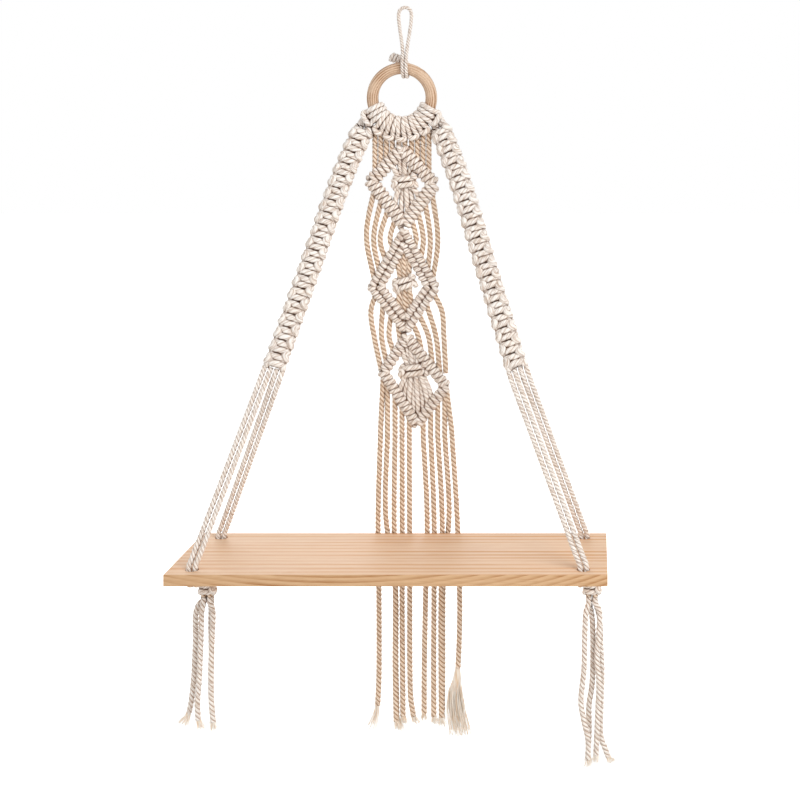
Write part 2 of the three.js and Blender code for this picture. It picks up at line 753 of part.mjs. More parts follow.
// Tails: the four loose rope ends under each gathering knot, in front and behind, towards
// the board's middle and its end.
const tailRoutes = {
  left: [
    [[-171, -75.1, -572], [-172.4, -75.1, -610], [-173.3, -75.1, -639], [-171.5, -75.1, -668],
      [-170, -75.1, -684]],
    [[-181, -75.1, -572], [-181.8, -75.1, -610], [-184.6, -75.1, -649], [-186.5, -75.1, -668],
      [-183.7, -75.1, -682]],
    [[-175.5, -68.5, -580], [-177, -66.5, -620], [-177.5, -66, -655], [-178, -66, -682]],
    [[-184, -68.8, -573], [-187.3, -68.5, -588], [-186.7, -68.5, -604], [-187.5, -68.5, -622],
      [-188.4, -68.5, -644], [-191.6, -68.5, -660], [-195.5, -68.5, -682]],
  ],
  right: [
    [[180.5, -76.5, -573], [179.4, -78, -591], [178.5, -78, -627], [175.7, -78, -657],
      [178.5, -78, -675], [182.3, -78, -692], [182.3, -78, -717]],
    [[193, -75.5, -572], [192.6, -75.5, -591], [190.7, -75.5, -615], [192.6, -75.5, -639],
      [191.7, -75.5, -664], [189.8, -75.5, -714]],
    [[186, -69, -580], [187, -69, -615], [186, -69, -645], [183.2, -69, -664],
      [183.2, -69, -687], [182.3, -69, -716]],
    [[193, -69, -580], [194.5, -69, -610], [195.4, -69, -634], [194.5, -69, -664],
      [194.5, -69, -693], [198.2, -69, -707], [202, -69, -718]],
  ],
};

for (const [name, side] of sides) {
  const knotX = boardShift + side * holeX + (side < 0 ? leftGatherShift : rightGatherShift);
  const top = gatherZ - gatherHeight / 2 - clearance;
  for (let tail = 0; tail < 4; tail += 1) {
    const inwards = tail % 2 === 0 ? -1 : 1;
    const x = knotX + (side * inwards * ropePitch) / 2;
    const y = gatherY + ((tail < 2 ? -1 : 1) * ropePitch) / 2;
    const route = tailRoutes[name][tail].map((place) => point(...place));
    const points = [point(x, y, top), point(x, y, top - ropeDiameter), ...route];
    const label = `${name}_tail_${tail < 2 ? 'front' : 'back'}_${(tail % 2) + 1}`;
    addPiece(label, ropeTube(points, ropeDiameter), cotton);
  }
}

export default shelf;
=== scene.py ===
# Hanging rope shelf: a pine board in two knotted rope bands under a wooden ring, with a
# knotted rope panel and its fringe behind the board. Places are given in millimetres from
# the top of the wall hook, X to the right, Y to the wall and Z up.
import math
import random

import bpy
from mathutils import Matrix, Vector


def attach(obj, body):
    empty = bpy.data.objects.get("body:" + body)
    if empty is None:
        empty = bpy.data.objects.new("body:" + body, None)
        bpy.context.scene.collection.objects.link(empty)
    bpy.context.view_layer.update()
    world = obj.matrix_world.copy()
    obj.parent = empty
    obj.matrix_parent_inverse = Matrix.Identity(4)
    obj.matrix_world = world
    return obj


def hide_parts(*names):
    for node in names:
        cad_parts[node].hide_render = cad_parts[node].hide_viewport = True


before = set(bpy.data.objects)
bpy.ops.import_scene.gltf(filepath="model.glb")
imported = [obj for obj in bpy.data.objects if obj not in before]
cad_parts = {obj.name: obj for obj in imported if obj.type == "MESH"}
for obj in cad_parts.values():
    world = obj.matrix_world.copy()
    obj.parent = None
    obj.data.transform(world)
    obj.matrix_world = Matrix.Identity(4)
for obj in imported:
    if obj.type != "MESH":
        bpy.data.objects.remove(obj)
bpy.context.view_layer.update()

MM = 0.001

# Camera, level with the ring's lower edge and to the right of the shelf, as the photograph
# was taken, with its lens shifted to the left and down to frame the whole shelf.
camera_data = bpy.data.cameras.new("camera")
camera_data.lens = 63.13
camera_data.sensor_width = 36
camera_data.shift_x = -0.2425
camera_data.shift_y = -0.3408
camera_data.clip_end = 30
camera = bpy.data.objects.new("camera", camera_data)
camera.location = (0.1879, -1.3952, -0.1175)
camera.rotation_euler = (math.radians(90), 0, 0)
bpy.context.collection.objects.link(camera)
bpy.context.scene.camera = camera


# Fringe: ten free ends of the panel's ropes, which hang behind the board. Three-strand
# cotton rope, 5.2 mm thick, cut with scissors, so that each end has opened into a tuft.
ROPE_WIDTH = 5.2
ROPE_CREST = 2.85  # from its middle to the top of a strand, with the nap
ROPE_LAY = 13.8  # one turn of a strand
TIED_LAY = 15  # in a knot
ROPE_STEP = 1.15  # between two sections of a rope
STRAND_COUNT = 3
SECTION_CORNERS = 24
COTTON = "FAF5EF"
COTTON_FLECK = "F1E4D6"
COTTON_PAINTED_SHADE = "F4E0CB"  # painted shade: darker, warmer cotton, as in the shade near the wall and under the board
COTTON_TIED = "FBF3EB"
# Painted shade in the grooves between a rope's strands and between its yarns.
GROOVE_PAINTED_SHADE = "9A6A3A"
# Painted shade, brown, in the creases where turns of rope meet.
SEAM_PAINTED_SHADE = "6E4216"
YARN_WIDTH = 0.9  # in a strand
YARN_PATCH = 7  # how far a yarn keeps its shade
FLECK_WIDTH = 9  # lighter and darker patches along a rope
MEETING_WIDTH = 3.2  # how far from where two turns meet the painted seam shade reaches
LOOSE_YARN_STREAK = 1.5  # patches along a loose yarn
TUFT_YARNS = 34
TUFT_YARN_WIDTH = 0.75
GOLDEN_TURN = 0.618  # of a full turn, which spreads yarns evenly over a round end


def linear(hex_colour):
    """An sRGB hex colour as linear red, green, blue and alpha."""
    parts = [int(hex_colour[i : i + 2], 16) / 255 for i in (0, 2, 4)]
    shares = [c / 12.92 if c <= 0.04045 else ((c + 0.055) / 1.055) ** 2.4 for c in parts]
    return (*shares, 1)


def add_node(material, kind, settings=(), links=()):
    """A node with its settings, and the sockets that feed its inputs."""
    node = material.node_tree.nodes.new(kind)
    for key, value in dict(settings).items():
        if isinstance(key, str) and hasattr(node, key):
            setattr(node, key, value)
        else:
            node.inputs[key].default_value = value
    for key, socket in dict(links).items():
        material.node_tree.links.new(socket, node.inputs[key])
    return node


def new_material(name, constants):
    """A material, and its surface shader with these constants on its sockets."""
    material = bpy.data.materials.new(name)
    material.use_nodes = True
    surface = material.node_tree.nodes["Principled BSDF"]
    for key, value in constants.items():
        surface.inputs[key].default_value = value
    return material, surface


def cotton_rope(name, colour, groove_shade_share, groove_shade_width, seam_shade_share):
    """Combed cotton, twisted: matt, with a soft nap and fine yarns along each strand. Its colour has
    painted shade, warm, in the grooves between its strands and in lines between its yarns, and
    painted brown shade where its turns meet."""
    constants = {"Roughness": 0.92, "Specular IOR Level": 0.2}
    constants.update({"Sheen Weight": 0.05, "Sheen Roughness": 0.6})
    material, surface = new_material(name, constants)
    place = add_node(material, "ShaderNodeTexCoord")
    around = add_node(material, "ShaderNodeSeparateXYZ", links={0: place.outputs["UV"]})
    turn = add_node(
        material,
        "ShaderNodeMath",
        {"operation": "MULTIPLY", 1: math.pi * STRAND_COUNT},
        {0: around.outputs["Y"]},
    )
    crest = add_node(material, "ShaderNodeMath", {"operation": "COSINE"}, {0: turn.outputs[0]})
    height = add_node(material, "ShaderNodeMath", {"operation": "ABSOLUTE"}, {0: crest.outputs[0]})
    # Painted shade: a darker, warm colour in the grooves between the strands, and in lines between
    # the yarns along each strand.
    groove = add_node(
        material,
        "ShaderNodeMapRange",
        {"From Min": 0.0, "From Max": groove_shade_width, "To Min": groove_shade_share, "To Max": 0.0},
        {"Value": height.outputs[0]},
    )
    yarn_place = add_node(
        material,
        "ShaderNodeMath",
        {"operation": "MULTIPLY", 1: math.pi * ROPE_WIDTH / YARN_WIDTH * YARN_PATCH * MM},
        {0: around.outputs["Y"]},
    )
    yarns = add_node(
        material,
        "ShaderNodeTexNoise",
        {"noise_dimensions": "4D", "Scale": 1 / (YARN_PATCH * MM), "Detail": 1.0},
        {"Vector": place.outputs["Object"], "W": yarn_place.outputs[0]},
    )
    between_yarns = add_node(
        material,
        "ShaderNodeMapRange",
        {"From Min": 0.48, "From Max": 0.68, "To Min": 0.0, "To Max": 0.6},
        {"Value": yarns.outputs["Fac"]},
    )
    shaded = add_node(
        material,
        "ShaderNodeMath",
        {"operation": "MAXIMUM"},
        {0: groove.outputs[0], 1: between_yarns.outputs[0]},
    )
    flecks = add_node(
        material,
        "ShaderNodeTexNoise",
        {"Scale": 1 / (FLECK_WIDTH * MM), "Detail": 2.0},
        {"Vector": place.outputs["Object"]},
    )
    fleck_share = add_node(
        material,
        "ShaderNodeMapRange",
        {"From Min": 0.45, "From Max": 0.7, "To Min": 0.0, "To Max": 0.45},
        {"Value": flecks.outputs["Fac"]},
    )
    patched = add_node(
        material,
        "ShaderNodeMix",
        {"data_type": "RGBA", 6: linear(colour), 7: linear(COTTON_FLECK)},
        {0: fleck_share.outputs[0]},
    )
    groove_shaded = add_node(
        material,
        "ShaderNodeMix",
        {"data_type": "RGBA", 7: linear(GROOVE_PAINTED_SHADE)},
        {0: shaded.outputs[0], 6: patched.outputs[2]},
    )
    # Painted shade: brown in the creases where a rope's turns meet each other or other ropes, by how
    # closely other surfaces surround each spot.
    meeting = add_node(
        material,
        "ShaderNodeAmbientOcclusion",
        {"samples": 8, "Distance": MEETING_WIDTH * MM},
    )
    seam = add_node(
        material,
        "ShaderNodeMapRange",
        {"From Min": 0.3, "From Max": 0.9, "To Min": seam_shade_share, "To Max": 0.0},
        {"Value": meeting.outputs["AO"]},
    )
    seam_shaded = add_node(
        material,
        "ShaderNodeMix",
        {"data_type": "RGBA", 7: linear(SEAM_PAINTED_SHADE)},
        {0: seam.outputs[0], 6: groove_shaded.outputs[2]},
    )
    material.node_tree.links.new(seam_shaded.outputs[2], surface.inputs["Base Color"])
    nap = add_node(
        material,
        "ShaderNodeBump",
        {"Strength": 0.5, "Distance": 0.35 * MM},
        {"Height": yarns.outputs["Fac"]},
    )
    material.node_tree.links.new(nap.outputs[0], surface.inputs["Normal"])
    return material


def rope_section(name, core_share, fullness):
    """The outline of three strands laid together, drawn once and swept along each route."""
    data = bpy.data.curves.new(name, "CURVE")
    data.dimensions = "2D"
    outline = data.splines.new("POLY")
    outline.points.add(SECTION_CORNERS - 1)
    for corner, spot in enumerate(outline.points):
        angle = 2 * math.pi * corner / SECTION_CORNERS
        bulge = abs(math.cos(angle * STRAND_COUNT / 2)) ** fullness
        radius = ROPE_CREST * MM * (core_share + (1 - core_share) * bulge)
        spot.co = (radius * math.cos(angle), radius * math.sin(angle), 0, 1)
    outline.use_cyclic_u = True
    section = bpy.data.objects.new(name, data)
    bpy.context.collection.objects.link(section)
    return section


SECTIONS = (
    rope_section("hanging_section", 0.68, 0.8),
    rope_section("tied_section", 0.86, 1.0),
)


def rope_kinds(label, hanging_colour, tied_colour, groove_shade_share, groove_shade_width):
    """A hanging rope shows its strands deeply. A tied one is pulled tight and partly untwisted, so
    that its strands lie flatter and its turns show instead. In colour, a tied one has less painted
    shade in its grooves and more painted shade where its turns meet."""
    hanging = cotton_rope(
        f"{label}_cotton_rope", hanging_colour, groove_shade_share, groove_shade_width, 0.6
    )
    tied = cotton_rope(f"tied_{label}_cotton_rope", tied_colour, groove_shade_share * 0.75, 0.55, 1.0)
    return (SECTIONS[0], hanging, ROPE_LAY), (SECTIONS[1], tied, TIED_LAY)


WHITE = rope_kinds("natural", COTTON, COTTON, 0.68, 0.62)
# Painted shade: more of it in the grooves, for the tails under the board and the hanging loop.
STRONGER_SHADE_KINDS = rope_kinds("stronger_shade", COTTON, COTTON, 0.9, 0.75)
# Painted shade: the ropes of the panel, its fringe and those under the board get darker, warmer
# cotton and more painted shade in their grooves, as in the shade near the wall and under the board.
PAINTED_SHADE_KINDS = rope_kinds("shaded", COTTON_PAINTED_SHADE, COTTON_TIED, 1.0, 0.9)
# Combed yarns that hang loose are soft and scatter the light, with a beige one here and there.
LOOSE_YARN, loose_surface = new_material(
    "combed_cotton_yarn",
    {"Roughness": 1, "Specular IOR Level": 0.1, "Sheen Weight": 1, "Sheen Roughness": 0.5},
)
loose_place = add_node(LOOSE_YARN, "ShaderNodeTexCoord")
loose_streaks = add_node(
    LOOSE_YARN,
    "ShaderNodeMapping",
    {"Scale": (1, 1, 0.08)},
    {"Vector": loose_place.outputs["Object"]},
)
loose_noise = add_node(
    LOOSE_YARN,
    "ShaderNodeTexNoise",
    {"Scale": 1 / (LOOSE_YARN_STREAK * MM), "Detail": 1.0},
    {"Vector": loose_streaks.outputs[0]},
)
loose_share = add_node(
    LOOSE_YARN,
    "ShaderNodeMapRange",
    {"From Min": 0.45, "From Max": 0.65, "To Min": 0.0, "To Max": 1.0},
    {"Value": loose_noise.outputs["Fac"]},
)
loose_colour = add_node(
    LOOSE_YARN,
    "ShaderNodeMix",
    {"data_type": "RGBA", 6: linear("FFF7EC"), 7: linear("EFD5B8")},
    {0: loose_share.outputs[0]},
)
LOOSE_YARN.node_tree.links.new(loose_colour.outputs[2], loose_surface.inputs["Base Color"])


def smooth(points, step=ROPE_STEP):
    """Points about one step apart on a smooth curve through those given."""
    places = [Vector(p) for p in points]
    places = [2 * places[0] - places[1], *places, 2 * places[-1] - places[-2]]
    line = []
    for a, b, c, d in zip(places, places[1:], places[2:], places[3:]):
        t1 = max((b - a).length, 0.01) ** 0.5
        t2 = t1 + max((c - b).length, 0.01) ** 0.5
        t3 = t2 + max((d - c).length, 0.01) ** 0.5
        count = max(1, round((c - b).length / step))
        for i in range(count):
            t = t1 + (t2 - t1) * i / count
            ab = a.lerp(b, t / t1)
            bc = b.lerp(c, (t - t1) / (t2 - t1))
            cd = c.lerp(d, (t - t2) / (t3 - t2))
            early = ab.lerp(bc, t / t2)
            late = bc.lerp(cd, (t - t1) / (t3 - t1))
            line.append(early.lerp(late, (t - t1) / (t2 - t1)))
    line.append(places[-2])
    return line


def only(piece):
    """Selects this piece alone."""
    bpy.ops.object.select_all(action="DESELECT")
    piece.select_set(True)
    bpy.context.view_layer.objects.active = piece


def new_curve(name):
    """An empty curve in space whose ends will be closed."""
    data = bpy.data.curves.new(name, "CURVE")
    data.dimensions = "3D"
    data.use_fill_caps = True
    return data


def made_mesh(name, data, material):
    """The swept curve as one closed mesh per rope, its faces outwards."""
    piece = bpy.data.objects.new(name, data)
    bpy.context.collection.objects.link(piece)
    only(piece)
    bpy.ops.object.convert(target="MESH")
    bpy.ops.object.mode_set(mode="EDIT")
    bpy.ops.mesh.select_all(action="SELECT")
    bpy.ops.mesh.remove_doubles(threshold=0.002 * MM)
    bpy.ops.mesh.normals_make_consistent(inside=False)
    bpy.ops.object.mode_set(mode="OBJECT")
    bpy.ops.object.shade_smooth()
    piece.data.materials.append(material)
    return piece


def swept(name, routes, width, section, material, lay):
    """Ropes of this section along the routes, as one mesh."""
    data = new_curve(name)
    data.bevel_mode = "OBJECT"
    data.bevel_object = section
    for line in routes:
        spline = data.splines.new("POLY")
        spline.points.add(len(line) - 1)
        travelled = 0
        for i, spot in enumerate(spline.points):
            travelled += (line[i] - line[i - 1]).length if i else 0
            spot.co = (*(line[i] * MM), 1)
            spot.tilt = -2 * math.pi * travelled / (lay * width / ROPE_WIDTH)
            spot.radius = width / ROPE_WIDTH
    return made_mesh(name, data, material)


def twisted(name, hanging=(), tied=(), width=ROPE_WIDTH, kinds=WHITE):
    """Three-strand ropes as one piece: stretches that hang, and stretches in a knot."""
    parts = [swept(name, lines, width, *kind) for lines, kind in zip((hanging, tied), kinds) if lines]
    only(parts[0])
    for part in parts[1:]:
        part.select_set(True)
    if len(parts) > 1:
        bpy.ops.object.join()
    return parts[0]


def yarns_along(name, routes, width):
    """Single yarns along the routes, as one piece."""
    data = new_curve(name)
    data.bevel_depth = width / 2 * MM
    data.bevel_resolution = 1
    for line in routes:
        spline = data.splines.new("POLY")
        spline.points.add(len(line) - 1)
        for i, spot in enumerate(spline.points):
            spot.co = (*(line[i] * MM), 1)
            spot.radius = 1 - 0.5 * i / (len(line) - 1)
    return made_mesh(name, data, LOOSE_YARN)


def tuft(name, end, along, length, spread, lean, seed):
    """A cut rope end that has opened: its yarns start in the rope and spread out."""
    chance = random.Random(seed)
    along = along.normalized()
    aside = along.cross(Vector((0, 1, 0))).normalized()
    back = along.cross(aside)
    routes = []
    for yarn in range(TUFT_YARNS):
        angle = 2 * math.pi * yarn * GOLDEN_TURN
        reach = math.sqrt((yarn + 0.5) / TUFT_YARNS)
        out = aside * math.cos(angle) * reach + back * math.sin(angle) * reach * 0.7
        start = end - along * 2.5 + out * ROPE_WIDTH * 0.36
        far = length * chance.uniform(0.7, 1)
        wander = Vector(chance.uniform(-1, 1) * 0.8 for _ in range(3))
        middle = end + along * far * 0.45 + out * (ROPE_WIDTH * 0.4 + spread * 0.3) + wander
        tip = end + along * far + out * (ROPE_WIDTH * 0.4 + spread) + wander * 1.5
        middle += lean * 0.35
        tip += lean
        routes.append(smooth([start, middle, tip], step=2.5))
    return yarns_along(name, routes, TUFT_YARN_WIDTH)


def free_rope(name, points, body, loose_end, kinds=WHITE):
    """A free rope end from its knot down to its tuft."""
    line = smooth(points)
    piece = twisted(f"{name}_strands", [line], kinds=kinds)
    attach(piece, body)
    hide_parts(name)
    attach(loose_end, body)


FRINGE_TOP = -424.15
FRINGE_X = [-24.5, -17.5, -9.98, -3.02, 4.18, 17.98, 25.5, 32.5, 39.5, 46.7]
FRINGE_ROUTES = [
    [(-26.8, 0, -503), (-25.9, 0, -587), (-26, 0, -665), (-27.2, 0, -692)],
    [(-19.4, 1, -503), (-12, 6, -560), (-10, 6.2, -587), (-10, 6.2, -650), (-9, 6.2, -706)],
    [(-10.9, 0, -503), (-9.5, 0, -587), (-9.8, 0, -650), (-8.8, 0, -708)],
    [(-3, 1, -503), (-3, 1, -587), (-2.6, 1, -650), (-2.2, 1, -703)],
    [(4.5, 0, -503), (4.7, 0, -587), (4.9, 0, -660), (5.8, 0, -686), (8.4, 0, -703)],
    [(21.9, 0, -503), (20.4, 0, -587), (19.2, 0, -650), (19, 0, -700)],
    [(28.8, 0, -503), (28.8, 0, -587), (28.5, 0, -650), (28.6, 0, -703)],
    [(36.8, 0, -503), (35.8, 0, -587), (35.8, 0, -650), (36.2, 0, -704)],
    [(43.7, 1, -503), (38, 6, -560), (37, 6.5, -587), (36.8, 6.5, -650), (36.5, 6.5, -701)],
    [(51.7, 0, -503), (54.4, 0, -587), (54, 0, -625), (52.7, 0, -655)],
]
# Of each tuft: its length, how far it spreads, and how far it leans to the right.
FRINGE_TUFTS = [
    (25, 2.8, -5),
    (14, 3, 3),
    (8, 2.6, 3),
    (8, 1.6, 1),
    (7, 1.8, 2),
    (7, 1.6, 0),
    (8, 2.2, 2),
    (9, 2.2, 1),
    (8, 1.8, 0),
]
# Down the tassel: the share of its length, its middle to the right and half its width.
TASSEL_SHAPE = [(0.17, -1.2, 3.8), (0.33, -2.6, 6.4), (0.62, -2, 9.4), (0.87, 0.6, 10.6), (1, 2, 11)]
TASSEL_YARNS = 120
TASSEL_YARN_WIDTH = 0.85
TASSEL_LENGTH = 68
for number, (x, route) in enumerate(zip(FRINGE_X, FRINGE_ROUTES), 1):
    name = f"fringe_rope_{number}"
    points = [(x, 0, FRINGE_TOP), *route]
    end = Vector(route[-1])
    along = end - Vector(route[-2])
    if number < 10:
        length, spread, lean = FRINGE_TUFTS[number - 1]
        end_piece = tuft(f"{name}_tuft", end, along, length, spread, Vector((lean, 0, 0)), number)
    else:
        # The last rope has come untwisted over its lowest 68 mm, into a tassel of crimped
        # yarns that hangs a little to the left and then spreads.
        chance = random.Random(10)
        routes = []
        for yarn in range(TASSEL_YARNS):
            angle = 2 * math.pi * yarn * GOLDEN_TURN
            reach = math.sqrt((yarn + 0.5) / TASSEL_YARNS)
            x0, y0 = math.cos(angle) * reach, math.sin(angle) * reach
            far = TASSEL_LENGTH * chance.uniform(0.86, 1)
            points_down = [end + Vector((x0 * 1.7, y0 * 1.7, 3))]
            for down, aside, full in TASSEL_SHAPE:
                crimp = chance.uniform(-0.7, 0.7)
                spot = Vector((aside + x0 * full + crimp, y0 * full * 0.5, -down * far))
                points_down.append(end + spot)
            routes.append(smooth(points_down, step=3))
        end_piece = yarns_along(f"{name}_tassel", routes, TASSEL_YARN_WIDTH)
    free_rope(name, points, "ring", end_piece, PAINTED_SHADE_KINDS)


# Tails: the four ends under each gathering knot, of the same rope, cut and frayed.
TAIL_TOP = -559.3
TAIL_TOPS = {"left": (-176.5, -72.2), "right": (186, -72.2)}
ROPE_PITCH = 5.8  # ropes side by side
TAIL_ROUTES = {
    "left": [
        [(-171, -75.1, -572), (-171.6, -75.1, -600), (-172.6, -75.1, -630),
         (-172, -75.1, -660), (-170.4, -75.1, -677)],
        [(-181, -75.1, -572), (-182, -75.1, -600), (-183.6, -75.1, -637),
         (-185.3, -75.1, -660), (-184.6, -75.1, -675)],
        [(-174.2, -68.5, -580), (-174.4, -66.5, -620), (-174.9, -66, -655), (-173.5, -66, -674)],
        [(-184.5, -69, -567), (-188.4, -68.5, -576), (-188.9, -68.5, -602), (-190.3, -68.5, -636),
         (-192.7, -68.5, -659), (-195, -68.5, -671)],
    ],
    "right": [
        [(180.5, -76.5, -573), (179.4, -78, -591), (178.5, -78, -627), (175.7, -78, -657),
         (178.5, -78, -675), (182.3, -78, -692), (182.3, -78, -711)],
        [(193, -75.5, -572), (192.6, -75.5, -591), (190.7, -75.5, -615),
         (192.6, -75.5, -639), (191.7, -75.5, -664), (189.8, -75.5, -708)],
        [(186, -69, -580), (187, -69, -615), (186, -69, -645), (183.2, -69, -664),
         (183.2, -69, -687), (182.3, -69, -710)],
        [(193, -69, -580), (194.5, -69, -610), (195.4, -69, -634), (194.5, -69, -664),
         (194.5, -69, -693), (198.2, -69, -704), (201.2, -69, -712)],
    ],
}
TAIL_TUFTS = {
    "left": [(8, 2, 0), (9, 2.6, 3), (8, 1.6, 0), (12, 3.2, -4)],
    "right": [(7, 1.8, 0), (7, 1.6, 0), (7, 1.6, 1), (6, 2, 2)],
}
for name, side in (("left", -1), ("right", 1)):
    middle_x, middle_y = TAIL_TOPS[name]
    for tail, route in enumerate(TAIL_ROUTES[name]):
        inwards = -1 if tail % 2 == 0 else 1
        x = middle_x + side * inwards * ROPE_PITCH / 2
        y = middle_y + (-1 if tail < 2 else 1) * ROPE_PITCH / 2
        label = f"{name}_tail_{'front' if tail < 2 else 'back'}_{tail % 2 + 1}"
        points = [(x, y, TAIL_TOP), (x, y, TAIL_TOP - ROPE_WIDTH), *route]
        end = Vector(route[-1])
        length, spread, lean = TAIL_TUFTS[name][tail]
        lean = Vector((lean, 0, 0))
        seed = 20 + 4 * (side > 0) + tail
        end_piece = tuft(f"{label}_tuft", end, end - Vector(route[-2]), length, spread, lean, seed)
        free_rope(label, points, "shelf", end_piece, STRONGER_SHADE_KINDS)


# Hanging loop: a thinner cotton cord over the wall hook, down in front of the ring, through
# it and up behind, where a hitched knot ties its two ends.
LOOP_WIDTH = 3.5
LOOP_PITCH = 3.5
LOOP_TURN = 8.5  # from the ring's section to the cord's middle
LOOP_X = 0.2
LOOP_NECK = -42
HOOK_SPAN = 6.3
RING_TOP = -58.8
LOOP_KNOT = Vector((-10.2, 8.6, -48.5))
LOOP_KNOT_HALF = Vector((6.2, 0, -2))
LOOP_KNOT_INSET = Vector((1.6, 0, -0.5))  # from each end of the knot to its wrapping
COIL_CORNERS = 14  # in one turn of a wound rope


def loop_strand(side):
    """One strand from the hook down, round the ring and up behind it."""
    x = LOOP_X + side * LOOP_PITCH / 2
    places = [
        Vector((side * HOOK_SPAN, 0, LOOP_WIDTH / 2 - HOOK_SPAN)),
        Vector((x + side * 0.3, -LOOP_TURN / 2, LOOP_NECK)),
        Vector((x, -LOOP_TURN, RING_TOP + 5.8)),
    ]
    for degrees in range(0, 181, 30):
        angle = math.radians(degrees)
        y = -LOOP_TURN * math.cos(angle)
        places.append(Vector((x, y, RING_TOP - LOOP_TURN * math.sin(angle))))
    places.append(Vector((x, LOOP_TURN, RING_TOP + 2.9)))
    return places


corner = HOOK_SPAN * math.sqrt(0.5)
bight = [
    Vector((-corner, 0, LOOP_WIDTH / 2 - HOOK_SPAN + corner)),
    Vector((0, 0, LOOP_WIDTH / 2)),
    Vector((corner, 0, LOOP_WIDTH / 2 - HOOK_SPAN + corner)),
]
loop_line = smooth([*reversed(loop_strand(-1)), *bight, *loop_strand(1)])
hanging_loop = twisted("looped_cord", [loop_line], width=LOOP_WIDTH, kinds=STRONGER_SHADE_KINDS)
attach(hanging_loop, "hook_loop")
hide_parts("hanging_loop")


def coiled(start, end, turns, half_width, half_depth):
    """A rope wound round the straight line from start to end."""
    along = (end - start).normalized()
    across = along.cross(Vector((0, -1, 0))).normalized()
    out = across.cross(along).normalized()
    steps = COIL_CORNERS * turns
    places = []
    for i in range(steps + 1):
        angle = 2 * math.pi * i / COIL_CORNERS
        spot = start.lerp(end, i / steps)
        spot += across * half_width * math.cos(angle) + out * half_depth * math.sin(angle)
        places.append(spot)
    return smooth(places)


knot_start = LOOP_KNOT - LOOP_KNOT_HALF
knot_end = LOOP_KNOT + LOOP_KNOT_HALF
knot_routes = [coiled(knot_start + LOOP_KNOT_INSET, knot_end - LOOP_KNOT_INSET, 3, 3.2, 2.3)]
knot_routes.append([knot_start.lerp(knot_end, i / 12) for i in range(13)])
for side in (-1, 1):
    x = LOOP_X + side * LOOP_PITCH / 2
    behind = [(x, LOOP_TURN, RING_TOP + rise) for rise in (3.2, 5.4)]
    knot_routes.append(smooth([*behind, knot_end.lerp(knot_start, 0.25)]))
hanging_loop_knot = twisted("hitched_knot", tied=knot_routes, width=LOOP_WIDTH)
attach(hanging_loop_knot, "hook_loop")
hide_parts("hanging_loop_knot")


# Wooden ring: beech, turned on a lathe and sanded, 70 mm across and 11.6 mm thick. Bare wood
# with fine grain round it.
RING_CENTRE = Vector((-3.1, 0, -88))
RING_RADIUS = 29.2
RING_HALF = 5.8

bpy.ops.mesh.primitive_circle_add(
    vertices=32,
    radius=RING_HALF * MM,
    location=(RING_CENTRE + Vector((RING_RADIUS, 0, 0))) * MM,
)
wooden_ring = bpy.context.active_object
wooden_ring.name = "turned_ring"
bpy.ops.object.transform_apply(location=True, rotation=True, scale=True)
bpy.ops.object.mode_set(mode="EDIT")
bpy.ops.mesh.select_all(action="SELECT")
bpy.ops.mesh.spin(
    steps=128,
    angle=2 * math.pi,
    center=RING_CENTRE * MM,
    axis=(0, 1, 0),
)
bpy.ops.mesh.select_all(action="SELECT")
bpy.ops.mesh.remove_doubles(threshold=0.01 * MM)
bpy.ops.transform.resize(value=(1, 0.97, 1), center_override=RING_CENTRE * MM)
bpy.ops.mesh.normals_make_consistent(inside=False)
bpy.ops.object.mode_set(mode="OBJECT")
bpy.ops.object.shade_smooth()


